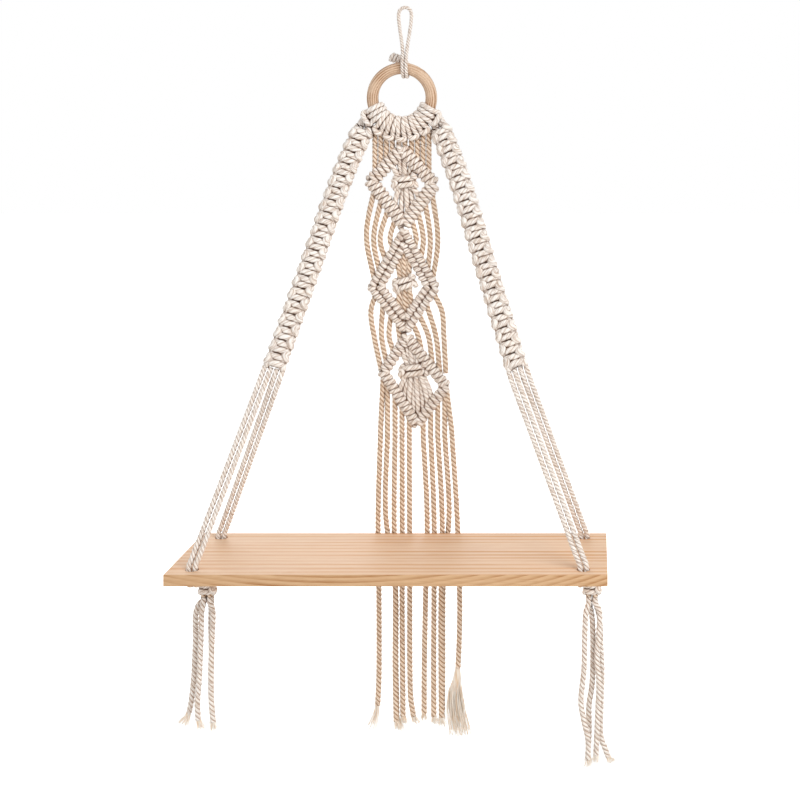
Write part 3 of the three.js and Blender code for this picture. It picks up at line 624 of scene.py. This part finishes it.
def wood(name, light, dark, heart, growth, ring_width, waver_width, grain, roughness):
    """Bare sanded wood: growth rings round the tree's heart, cut through, and fibres."""
    material, surface = new_material(name, {"Roughness": roughness, "Specular IOR Level": 0.3})
    place = add_node(material, "ShaderNodeTexCoord").outputs["Object"]
    along_grain = add_node(
        material, "ShaderNodeVectorMath", {"operation": "MULTIPLY", 1: grain}, {0: place}
    )
    from_heart = add_node(
        material,
        "ShaderNodeVectorMath",
        {"operation": "SUBTRACT", 1: [c * MM for c in heart]},
        {0: place},
    )
    across = add_node(
        material,
        "ShaderNodeVectorMath",
        {"operation": "MULTIPLY", 1: growth},
        {0: from_heart.outputs[0]},
    )
    depth = add_node(
        material, "ShaderNodeVectorMath", {"operation": "LENGTH"}, {0: across.outputs[0]}
    )
    waver = add_node(
        material,
        "ShaderNodeTexNoise",
        {"Scale": 28.0, "Detail": 2.0, "Roughness": 0.45},
        {"Vector": along_grain.outputs[0]},
    )
    bent = add_node(
        material,
        "ShaderNodeMath",
        {"operation": "MULTIPLY_ADD", 1: waver_width * MM},
        {0: waver.outputs["Fac"], 2: depth.outputs["Value"]},
    )
    layer = add_node(
        material, "ShaderNodeMath", {"operation": "DIVIDE", 1: ring_width * MM}, {0: bent.outputs[0]}
    )
    layer_share = add_node(material, "ShaderNodeMath", {"operation": "FRACT"}, {0: layer.outputs[0]})
    late_wood = add_node(
        material,
        "ShaderNodeMapRange",
        {"interpolation_type": "SMOOTHSTEP", "From Min": 0.3, "From Max": 0.95},
        {"Value": layer_share.outputs[0]},
    )
    strong = add_node(
        material,
        "ShaderNodeTexNoise",
        {"Scale": 60.0, "Detail": 1.0},
        {"Vector": along_grain.outputs[0]},
    )
    strength = add_node(
        material,
        "ShaderNodeMapRange",
        {"From Min": 0.35, "From Max": 0.65, "To Min": 0.25, "To Max": 0.95},
        {"Value": strong.outputs["Fac"]},
    )
    rings = add_node(
        material,
        "ShaderNodeMath",
        {"operation": "MULTIPLY"},
        {0: late_wood.outputs[0], 1: strength.outputs[0]},
    )
    fibres = add_node(
        material,
        "ShaderNodeTexNoise",
        {"Scale": 1 / (1.1 * MM), "Detail": 3.0, "Roughness": 0.6},
        {"Vector": along_grain.outputs[0]},
    )
    fibre_share = add_node(
        material,
        "ShaderNodeMapRange",
        {"From Min": 0.4, "From Max": 0.75, "To Min": 0.0, "To Max": 0.35},
        {"Value": fibres.outputs["Fac"]},
    )
    share = add_node(
        material,
        "ShaderNodeMath",
        {"operation": "ADD", "use_clamp": True},
        {0: rings.outputs[0], 1: fibre_share.outputs[0]},
    )
    colour = add_node(
        material,
        "ShaderNodeMix",
        {"data_type": "RGBA", 6: linear(light), 7: linear(dark)},
        {0: share.outputs[0]},
    )
    bump = add_node(
        material,
        "ShaderNodeBump",
        {"Strength": 0.2, "Distance": 0.1 * MM},
        {"Height": share.outputs[0]},
    )
    material.node_tree.links.new(colour.outputs[2], surface.inputs["Base Color"])
    material.node_tree.links.new(bump.outputs[0], surface.inputs["Normal"])
    return material


# Beech: pale, closely grained, sanded smooth, with short dark flecks.
beech = wood("sanded_beech", "DDC1A6", "915D31", (-2, 30, -90), (1, 0.5, 1), 1.9, 2.2, (1, 1, 1), 0.5)
wooden_ring.data.materials.append(beech)
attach(wooden_ring, "ring")
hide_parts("wooden_ring")


# Ring knots: seven lark's heads round the bottom of the ring. Each rope is folded round the
# ring, the bar of its fold lies across the front, and its two ends run down behind the bar.
PANEL_KNOT_ANGLE = 17.8
BAND_KNOT_ANGLE = 58.75
PANEL_TOP = -135
WRAP_RADIUS = RING_HALF + ROPE_WIDTH / 2 + 0.1
BAR_RADIUS = 11.8
BAR_FRONT = 5.4
PANEL_KNOT_ASIDE = 2.75  # from a ring knot's middle to each of its wraps


def ring_place(degrees, away, aside=0.0, y=0.0):
    """A place by its angle on the ring, its distance from the ring's section and aside."""
    angle = math.radians(degrees)
    outwards = Vector((math.sin(angle), 0, -math.cos(angle)))
    sideways = Vector((math.cos(angle), 0, math.sin(angle)))
    return RING_CENTRE + outwards * (RING_RADIUS + away) + sideways * aside + Vector((0, y, 0))


def half_wrap(degrees, aside):
    """One wrap: from outwards behind the ring, over its inner side and down the front."""
    places = []
    for turned in range(-50, -321, -30):
        angle = math.radians(turned)
        away = WRAP_RADIUS * math.cos(angle)
        inner = aside * (1 - 0.14 * (1 - math.cos(angle)) / 2)
        places.append(ring_place(degrees, away, inner, -WRAP_RADIUS * math.sin(angle)))
    return places


def larks_head(degrees, aside, ends):
    """A folded rope: end, wrap, bar across the front, wrap, end."""
    left = half_wrap(degrees, -aside)
    right = half_wrap(degrees, aside)
    bar = [
        ring_place(degrees, BAR_RADIUS - 0.9, -aside - 1.0, -BAR_FRONT + 0.6),
        ring_place(degrees, BAR_RADIUS + 0.6, -aside * 0.6, -BAR_FRONT - 0.9),
        ring_place(degrees, BAR_RADIUS + 0.6, aside * 0.6, -BAR_FRONT - 0.9),
        ring_place(degrees, BAR_RADIUS - 0.9, aside + 1.0, -BAR_FRONT + 0.6),
    ]
    return smooth([*reversed(ends[0]), *left, *bar, *reversed(right), *ends[1]])


for knot in range(-2, 3):
    degrees = knot * PANEL_KNOT_ANGLE
    bar_place = ring_place(degrees, BAR_RADIUS)
    ends, hanging = [], []
    for side in (-1, 1):
        behind = ring_place(degrees, 9.4, side * 2.7, 1.6)
        x = bar_place.x + side * ROPE_PITCH / 2
        ends.append([behind, Vector((x, 0.8, bar_place.z)), Vector((x, 0.3, bar_place.z - 2))])
        down = [(x, 0.6, bar_place.z), (x, 0, PANEL_TOP + 3), (x, 0, PANEL_TOP + 0.1)]
        hanging.append(smooth(down))
    line = larks_head(degrees, PANEL_KNOT_ASIDE, ends)
    piece = twisted(f"larks_head_panel_{knot + 3}", hanging, [line], kinds=PAINTED_SHADE_KINDS)
    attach(piece, "ring")
    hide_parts(f"ring_knot_panel_{knot + 3}")


# Bands: two core ropes run straight down, and two more are tied round them in square knots,
# one knot after the other. One of the two always crosses in front, the other behind.
BAND_TOPS = {"left": (-40.9, 0, -118), "right": (34.7, 0, -118)}
BAND_ENDS = {"left": (-114.5, -68.2, -344.5), "right": (114.9, -68.2, -344.5)}
BAND_HALF_KNOTS = 38
BAND_SETBACK = 2.5
BAND_ROPE_WIDTH = 6.3
BAND_HALF_WIDTH = 8.0  # to the middle of its outermost rope
BAND_HALF_DEPTH = 4.6
BAND_FOOT = 5.6  # from the band's middle to the two ropes that it is tied with
BAND_KNOT_ASIDE = 5.3
CORE_STEPS = 60
FLEX_GAP = 0.85
KNOT_LEAN = 0.03  # of its height, how far a half knot's bar slopes


class Line:
    """A line with a frame of its own: along it, across it and out to the front."""

    def __init__(self, points):
        self.points = smooth(points, 0.5)
        self.travel = [0]
        for a, b in zip(self.points, self.points[1:]):
            self.travel.append(self.travel[-1] + (b - a).length)
        self.length = self.travel[-1]

    def place(self, travel, across=0.0, out=0.0):
        """The place so far along the line, across it and out of it."""
        travelled = min(max(travel, 0), self.length)
        i = min(int(travelled / self.length * (len(self.points) - 1)), len(self.points) - 2)
        while i > 0 and self.travel[i] > travelled:
            i -= 1
        while i < len(self.points) - 2 and self.travel[i + 1] < travelled:
            i += 1
        a, b = self.points[i], self.points[i + 1]
        along = (b - a).normalized()
        aside = Vector((0, -1, 0)).cross(along).normalized()
        front = along.cross(aside).normalized()
        return a + along * (travel - self.travel[i]) + aside * across + front * out


def square_knots(line, start, pitch, count, half_width, half_depth):
    """The two ropes tied round a core: one always in front, the other always behind."""
    fronts, backs = [], []
    for k in range(count):
        side = 1 if k % 2 == 0 else -1
        shift = 0 if k % 2 == 0 else -0.08  # the two halves of a knot lie close
        for across, out, level in [
            (-0.84, -0.05, 0.0),
            (-0.62, 0.74, 0.5 - KNOT_LEAN),
            (-0.25, 1.0, 0.5 - KNOT_LEAN * 0.4),
            (0.25, 1.0, 0.5 + KNOT_LEAN * 0.4),
            (0.62, 0.7, 0.5 + KNOT_LEAN),
        ]:
            travel = start + (k + level + shift) * pitch
            fronts.append(line.place(travel, side * across * half_width, out * half_depth))
        for across, out, level in [
            (0.8, 1.25, 0.02),
            (1.06, 0.6, 0.42),
            (0.74, -0.82, 0.58),
            (0.0, -1.0, 0.5),
            (-0.74, -0.82, 0.42),
            (-0.98, 0.3, 0.58),
        ]:
            travel = start + (k + level + shift) * pitch
            backs.append(line.place(travel, side * across * half_width, out * half_depth))
    side = 1 if count % 2 == 0 else -1
    fronts.append(line.place(start + count * pitch, -side * half_width, 0))
    backs.append(line.place(start + count * pitch, side * half_width, 0))
    return fronts, backs


bands = {}
for name, side in (("left", -1), ("right", 1)):
    top, end = Vector(BAND_TOPS[name]), Vector(BAND_ENDS[name])
    bow = [top.lerp(end, 0.2), top.lerp(end, 0.6)]
    bow[0] += Vector((side * 3, 0, 0))
    bow[1] += Vector((side * 1.5, 0, 0))
    line = Line([top, *bow, end])
    bands[name] = line
    pitch = (line.length - BAND_SETBACK) / BAND_HALF_KNOTS
    fronts, backs = square_knots(
        line, BAND_SETBACK, pitch, BAND_HALF_KNOTS, BAND_HALF_WIDTH, BAND_HALF_DEPTH
    )
    fronts.insert(0, line.place(0.2, -BAND_FOOT, 0.5))
    backs.insert(0, line.place(0.2, BAND_FOOT, 0.5))
    routes = [smooth(fronts), smooth(backs)]
    knots = twisted(f"{name}_band_knotting", tied=routes, width=BAND_ROPE_WIDTH)
    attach(knots, f"{name}_band")
    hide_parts(f"{name}_band_square_knots")
    for place_name, each in (("outer", 1), ("inner", -1)):
        aside = side * each * ROPE_PITCH / 2
        core_line = [line.place(line.length * i / CORE_STEPS, aside) for i in range(CORE_STEPS + 1)]
        core = twisted(f"{name}_band_{place_name}_core", [smooth(core_line)])
        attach(core, f"{name}_band")
        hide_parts(f"{name}_band_{place_name}_core_rope")

    # The band's own knot on the ring: a lark's head round a second rope's single wrap.
    degrees = side * BAND_KNOT_ANGLE
    ends = []
    for each in (-1, 1):
        behind = ring_place(degrees, 9.6, each * 4.6, 1.2)
        foot = line.place(-FLEX_GAP, each * BAND_FOOT)
        ends.append([behind, foot.lerp(behind, 0.35), foot])
    outer_line = larks_head(degrees, BAND_KNOT_ASIDE, ends)
    wrap = half_wrap(degrees, 0)
    back_end = [
        ring_place(degrees, 9.6, 1.6, 2.4),
        line.place(-6, 2.4, 0),
        line.place(-FLEX_GAP, 2.9, 0),
    ]
    front_end = [
        ring_place(degrees, 9.8, -1.0, -2.4),
        line.place(-6, -2.4, 0),
        line.place(-FLEX_GAP, -2.9, 0),
    ]
    inner_line = smooth([*reversed(back_end), *wrap, *front_end])
    piece = twisted(f"larks_head_{name}_band", tied=[outer_line, inner_line])
    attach(piece, "ring")
    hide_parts(f"ring_knot_{name}_band")


# Shelf board: pine, planed and sanded, 400 by 130 mm and 10.6 mm thick, its edges eased. Two
# 12 mm holes are drilled through it near each end.
BOARD_X = 0.2
BOARD_Y = -68.2
BOARD_TOP = -520
BOARD_SIZE = (400, 130, 10.6)
HOLE_X = 178
HOLE_YS = {"front": -118.2, "back": -18.2}
HOLE_WIDTH = 12
DRILL_LENGTH = 30
EASED_WIDTH = 0.7

centre = Vector((BOARD_X, BOARD_Y, BOARD_TOP - BOARD_SIZE[2] / 2))
bpy.ops.mesh.primitive_cube_add(size=1, location=centre * MM, scale=[s * MM for s in BOARD_SIZE])
board = bpy.context.active_object
board.name = "pine_board"
bpy.ops.object.transform_apply(location=True, rotation=True, scale=True)
drills = []


def drilled(face):
    """Whether a face of the board lies inside its rim, as those in its holes do."""
    away = face.center / MM - centre
    return abs(away.x) < BOARD_SIZE[0] / 2 - 1 and abs(away.y) < BOARD_SIZE[1] / 2 - 1


for side in (-1, 1):
    for y in HOLE_YS.values():
        bpy.ops.mesh.primitive_cylinder_add(
            vertices=48,
            radius=HOLE_WIDTH / 2 * MM,
            depth=DRILL_LENGTH * MM,
            location=Vector((BOARD_X + side * HOLE_X, y, centre.z)) * MM,
        )
        drills.append(bpy.context.active_object)
        bpy.ops.object.transform_apply(location=True, rotation=True, scale=True)
for drill in drills:
    only(board)
    cut = board.modifiers.new("hole", "BOOLEAN")
    cut.object = drill
    cut.operation = "DIFFERENCE"
    cut.solver = "EXACT"
    bpy.ops.object.modifier_apply(modifier="hole")
    bpy.data.objects.remove(drill)
only(board)
eased = board.modifiers.new("eased_edges", "BEVEL")
eased.width = EASED_WIDTH * MM
eased.segments = 3
eased.limit_method = "ANGLE"
eased.angle_limit = math.radians(60)
bpy.ops.object.modifier_apply(modifier="eased_edges")
bpy.ops.object.shade_smooth_by_angle(angle=math.radians(35))

# Pine: yellowish white wood with reddish late-wood lines, straight and close along its faces, and in
# long slanting arches on its sawn front and back edges, whose colour is darker too, as painted shade
# for less light falling there than on the top. Planed and sanded matt.
pine_face = wood(
    "planed_pine_face", "EBCAAB", "D69D6B", (0, -330, -560), (0, 1, 1), 10, 17, (0.05, 1, 1), 0.6
)
pine_edge_grain_and_shade = wood(
    "planed_pine_edge", "D6B088", "A36B35", (-50, 0, 75), (1, 0, 1), 5.5, 12, (0.06, 1, 1), 0.6
)
board.data.materials.append(pine_face)
board.data.materials.append(pine_edge_grain_and_shade)
for face in board.data.polygons:
    if abs(face.normal.y) > 0.8 and not drilled(face):
        face.material_index = 1
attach(board, "shelf")
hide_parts("shelf_board")


# Suspension ropes: under each band its four ropes part, the two on the left to the front
# hole and the two on the right to the back hole, and run down through the board.
BOARD_UNDERSIDE = BOARD_TOP - BOARD_SIZE[2]
SUSPENSION_WIDTH = 4.8
for name, side in (("left", -1), ("right", 1)):
    line = bands[name]
    for rope in range(4):
        offset = (2 * rope - 3) * ROPE_PITCH / 2
        place_name = "front" if rope < 2 else "back"
        in_hole = (-1 if rope % 2 == 0 else 1) * ROPE_PITCH / 2
        x = BOARD_X + side * HOLE_X + in_hole
        y = HOLE_YS[place_name]
        top = line.place(line.length + FLEX_GAP, offset)
        following = line.place(line.length + FLEX_GAP + ROPE_PITCH, offset)
        mouth = Vector((x, y, BOARD_TOP + ROPE_PITCH / 2))
        points = [top, following]
        points += [following.lerp(mouth, share) for share in (0.33, 0.66, 0.95)]
        points += [mouth, Vector((x, y, BOARD_UNDERSIDE))]
        number = rope + 1 if rope < 2 else rope - 1
        label = f"{name}_suspension_rope_{place_name}_{number}"
        piece = twisted(f"{label}_strand", [smooth(points)], width=SUSPENSION_WIDTH)
        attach(piece, "shelf")
        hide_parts(label)


# Gathering knots: under the board the four ropes of a side run to its middle and are tied
# together in one square knot, which carries the board.
GATHER_Z = -549
GATHER_HALF = 10
GATHER_HALF_WIDTH = 6.4
GATHER_HALF_DEPTH = 5.0
GATHER_PITCH = 5.1
for name, side in (("left", -1), ("right", 1)):
    knot_x, knot_y = TAIL_TOPS[name]
    routes = []
    for place_name, y in HOLE_YS.items():
        back = 1 if place_name == "back" else -1
        for each in (-1, 1):
            x = BOARD_X + side * HOLE_X + each * ROPE_PITCH / 2
            core_x = knot_x + each * ROPE_PITCH / 2
            core_y = knot_y + back * ROPE_PITCH / 2
            lean = Vector((core_x, core_y, GATHER_Z + 7)) - Vector((x, y, BOARD_UNDERSIDE - 4))
            points = [
                Vector((x, y, BOARD_UNDERSIDE - 0.3)),
                Vector((x, y - back * 0.6, BOARD_UNDERSIDE - 2.6)),
                Vector((x, y - back * 4.5, BOARD_UNDERSIDE - 4.6)) + lean * 0.02,
                Vector((x, y, BOARD_UNDERSIDE - 4.6)) + lean * 0.85,
                Vector((core_x, core_y, GATHER_Z + 4.5)),
                Vector((core_x, core_y, GATHER_Z - GATHER_HALF)),
            ]
            routes.append(smooth(points))
    line = Line([(knot_x, knot_y, GATHER_Z + rise) for rise in (8, 0, -GATHER_HALF)])
    fronts, backs = square_knots(line, 0, GATHER_PITCH, 3, GATHER_HALF_WIDTH, GATHER_HALF_DEPTH)
    tied = [smooth(fronts), smooth(backs)]
    piece = twisted(f"{name}_gathering_knot_ropes", routes, tied, kinds=PAINTED_SHADE_KINDS)
    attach(piece, "shelf")
    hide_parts(f"{name}_gathering_knot")


# Knotted panel: three diamonds of hitched rows, each round a square knot. The ropes that
# aren't in a row hang loose beside the diamonds and bow outwards.
PANEL_HALF_WIDTH = 40
PANEL_HEIGHT = 289
ROW_FRONT = -0.8
ROW_PITCH = 5.2
ROW_HALF_DEPTH = 2.4
CORNERS = ("top", "left", "right", "bottom", "knot")
DIAMONDS = {
    "upper": {
        "top": (0, 0.015),
        "left": (-0.76, 0.125),
        "right": (0.8, 0.135),
        "bottom": (0.05, 0.275),
        "knot": (0.07, 0.128),
        "rows": [1],
        "reach": 4.8,
        "above": (-13, -6, 0, 7, 13),
        "below": (-11, -4, 3, 9, 16),
        "half_width": 10.5,
        "tilt": 1,
    },
    "middle": {
        "top": (0.05, 0.295),
        "left": (-0.75, 0.49),
        "right": (0.85, 0.49),
        "bottom": (0.1, 0.64),
        "knot": (0.07, 0.478),
        "rows": [1, 0.74],
        "reach": 2.0,
        "above": (-9, -5, -1, 3, 7),
        "below": (-9, -4.5, 0, 4.5, 9),
        "half_width": 10,
        "tilt": 2.4,
    },
    "lower": {
        "top": (0.13, 0.66),
        "left": (-0.46, 0.782),
        "right": (1.1, 0.83),
        "bottom": (0.375, 0.96),
        "knot": (0.29, 0.775),
        "rows": [1],
        "reach": 3.4,
        "above": (-12, -7.5, -3, 1.5, 6, 10.5, 14),
        "below": (-15, -10, -5, 0, 5, 10, 15, 19),
        "half_width": 12.5,
        "tilt": 1,
    },
}


def panel_place(shares):
    """A place on the rows, by its shares of the panel's half width and height."""
    x = RING_CENTRE.x + shares[0] * PANEL_HALF_WIDTH
    return Vector((x, ROW_FRONT, PANEL_TOP - shares[1] * PANEL_HEIGHT))


# The loose ropes beside the upper and the middle diamond, then beside the middle and the
# lower one, each by its bends from the top down (X and Z).
LOOSE = {
    "upper": [
        [(-30, -176), (-38.5, -225), (-30, -272)],
        [(-23, -186), (-31.3, -229), (-24, -267)],
        [(-16, -196), (-24.8, -229), (-18, -254)],
        [(-9, -206), (-15, -229), (-11, -239)],
        [(26, -178), (32.5, -229), (27, -272)],
        [(19, -188), (25, -229), (21.5, -266)],
        [(12, -198), (18, -229), (15, -252)],
        [(6, -207), (11, -229), (8.5, -238)],
    ],
    "middle": [
        [(-29, -283), (-34, -300), (-31, -325), (-24, -358)],
        [(-22, -292), (-23.5, -325), (-18.5, -352)],
        [(-14, -304), (-16, -325), (-11.5, -341)],
        [(-7, -314), (-5, -330)],
        [(28, -282), (36.5, -300), (38.5, -325), (40.5, -362)],
        [(21, -293), (30.5, -325), (34.5, -362)],
        [(14, -304), (23, -325), (27, -352)],
        [(8, -314), (13, -325), (16, -338)],
    ],
    "lower": [],
}
PANEL_ROPE_X = []
for knot in range(-2, 3):
    foot_x = ring_place(knot * PANEL_KNOT_ANGLE, BAR_RADIUS).x
    PANEL_ROPE_X += [foot_x - ROPE_PITCH / 2, foot_x + ROPE_PITCH / 2]

for name, diamond in DIAMONDS.items():
    corners = {key: panel_place(diamond[key]) for key in CORNERS}
    centre = corners["knot"]
    routes, rows = [], []
    for side in ("left", "right"):
        for end in ("top", "bottom"):
            for share in diamond["rows"]:
                start = centre.lerp(corners[side], share)
                finish = centre.lerp(corners[end], share)
                if end == "top":
                    start, finish = finish, start
                turns = round((finish - start).length / ROW_PITCH)
                rows.append(coiled(start, finish, turns, diamond["reach"], ROW_HALF_DEPTH))
                rows.append([start.lerp(finish, i / 20) for i in range(21)])
            # Where two rows lie side by side, a further rope lies behind the gap between them, and
            # the painted seam shade darkens it, standing for the shade between the rows.
            if len(diamond["rows"]) > 1:
                share = sum(diamond["rows"]) / 2
                start = centre.lerp(corners[side], share) + Vector((0, 1.6, 0))
                finish = centre.lerp(corners[end], share) + Vector((0, 1.6, 0))
                rows.append([start.lerp(finish, i / 20) for i in range(21)])
    # The ropes between the innermost rows and the square knot in the middle.
    for end, upwards, spread in (("top", 1, diamond["above"]), ("bottom", -1, diamond["below"])):
        for strand, reach in enumerate(spread):
            far = corners[end]
            corner = corners["left" if centre.x + reach < far.x else "right"]
            row_share = (centre.x + reach - far.x) / (corner.x - far.x)
            spot = centre.lerp(far.lerp(corner, row_share), diamond["rows"][-1])
            layer = 0.5 + (strand % 2) * 1.8
            foot = centre + Vector((reach * 0.5, layer, upwards * 5))
            bend = foot.lerp(spot, 0.5) + Vector((reach * 0.06, 0, 0))
            tucked = centre + Vector((reach * 0.5, layer, 0))
            line = smooth([Vector((spot.x, 1.2, spot.z)), bend, foot, tucked])
            (routes if name == "middle" else rows).append(line)
    if name == "upper":
        for x in PANEL_ROPE_X:
            top, corner = corners["top"], corners["left" if x < corners["top"].x else "right"]
            share = min((x - top.x) / (corner.x - top.x), 1)
            foot = top.lerp(corner, share)
            routes.append(smooth([Vector((x, 0, PANEL_TOP)), Vector((x, 0, foot.z))]))
    for bends in LOOSE[name]:
        routes.append(smooth([Vector((x, 0.6, z)) for x, z in bends]))
    if name == "lower":
        for rope, x in enumerate(FRINGE_X):
            corner = corners["left" if rope < 5 else "right"]
            share = (x - corner.x) / (corners["bottom"].x - corner.x)
            spot = corner.lerp(corners["bottom"], min(max(share, 0), 1))
            middle = Vector((x, 0, min(spot.z - 6, FRINGE_TOP + 2)))
            finish = Vector((x, 0, FRINGE_TOP))
            routes.append(smooth([Vector((spot.x, 0, spot.z)), middle, finish]))
    piece = twisted(f"{name}_diamond_ropes", routes, rows, kinds=PAINTED_SHADE_KINDS)
    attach(piece, "ring")
    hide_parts(f"panel_{name}_diamond")

    lean = Vector((diamond["tilt"], 0, -7))
    line = Line([centre - lean, centre, centre + lean])
    fronts, backs = square_knots(line, 0.6, 6.4, 2, diamond["half_width"], 4.0)
    routes = [smooth(fronts), smooth(backs)]
    for x in (-5.2, -1.8, 1.8, 5.2):
        filling = [(x, 0.8, 7), (x * 0.8, 0.8, 0), (x, 0.8, -7)]
        routes.append(smooth([centre + Vector(spot) for spot in filling]))
    piece = twisted(f"{name}_square_knot_ropes", tied=routes, kinds=PAINTED_SHADE_KINDS)
    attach(piece, "ring")
    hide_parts(f"panel_{name}_square_knot")


# Studio: a plain pale floor under the hanging shelf, white surroundings, and soft light
# from the upper right and the front.
bpy.ops.mesh.primitive_plane_add(size=24, location=(0, 0, -0.95))
floor = bpy.context.active_object
floor.name = "studio_floor"
floor_paint, floor_surface = new_material(
    "pale_floor",
    {"Base Color": linear("F4F3F1"), "Roughness": 0.9, "Emission Color": (1, 1, 1, 1)},
)
seen = add_node(floor_paint, "ShaderNodeLightPath")
spot = add_node(floor_paint, "ShaderNodeTexCoord")
distance = add_node(
    floor_paint, "ShaderNodeVectorMath", {"operation": "LENGTH"}, {0: spot.outputs["Object"]}
)
glow = add_node(
    floor_paint,
    "ShaderNodeMapRange",
    {"From Min": 0.45, "From Max": 1.3, "To Min": 0.3, "To Max": 0.8},
    {"Value": distance.outputs["Value"]},
)
rays = add_node(
    floor_paint,
    "ShaderNodeMath",
    {"operation": "MULTIPLY"},
    {0: seen.outputs["Is Camera Ray"], 1: glow.outputs[0]},
)
floor_paint.node_tree.links.new(rays.outputs[0], floor_surface.inputs["Emission Strength"])
floor.data.materials.append(floor_paint)

world = bpy.data.worlds.new("studio_world")
bpy.context.scene.world = world
world.use_nodes = True
background = world.node_tree.nodes["Background"]
path = add_node(world, "ShaderNodeLightPath")
glossy = add_node(
    world,
    "ShaderNodeMath",
    {"operation": "MAXIMUM"},
    {0: path.outputs["Is Camera Ray"], 1: path.outputs["Is Glossy Ray"]},
)
clear = add_node(
    world,
    "ShaderNodeMath",
    {"operation": "MAXIMUM"},
    {0: glossy.outputs[0], 1: path.outputs["Is Transmission Ray"]},
)
strength = add_node(
    world, "ShaderNodeMapRange", {"To Min": 0.55, "To Max": 1.0}, {"Value": clear.outputs[0]}
)
background.inputs["Color"].default_value = (1, 1, 1, 1)
world.node_tree.links.new(strength.outputs[0], background.inputs["Strength"])


def soft_lamp(name, place, target, size, watts):
    """A square lamp at a place, turned to its target."""
    data = bpy.data.lights.new(name, "AREA")
    data.size = size
    data.energy = watts
    lamp = bpy.data.objects.new(name, data)
    lamp.location = place
    lamp.rotation_euler = (Vector(target) - Vector(place)).to_track_quat("-Z", "Y").to_euler()
    bpy.context.collection.objects.link(lamp)


soft_lamp("key_lamp", (1.4, -1.6, 0.9), (0, 0, -0.35), 1.8, 37)
soft_lamp("fill_lamp", (-1.6, -1.8, -0.1), (0, 0, -0.4), 1.6, 7)
soft_lamp("back_lamp", (-0.7, 2.0, 0.4), (0, 0, -0.4), 1.8, 16)

for section in SECTIONS:
    bpy.data.objects.remove(section)
bpy.context.scene.view_settings.view_transform = "Standard"
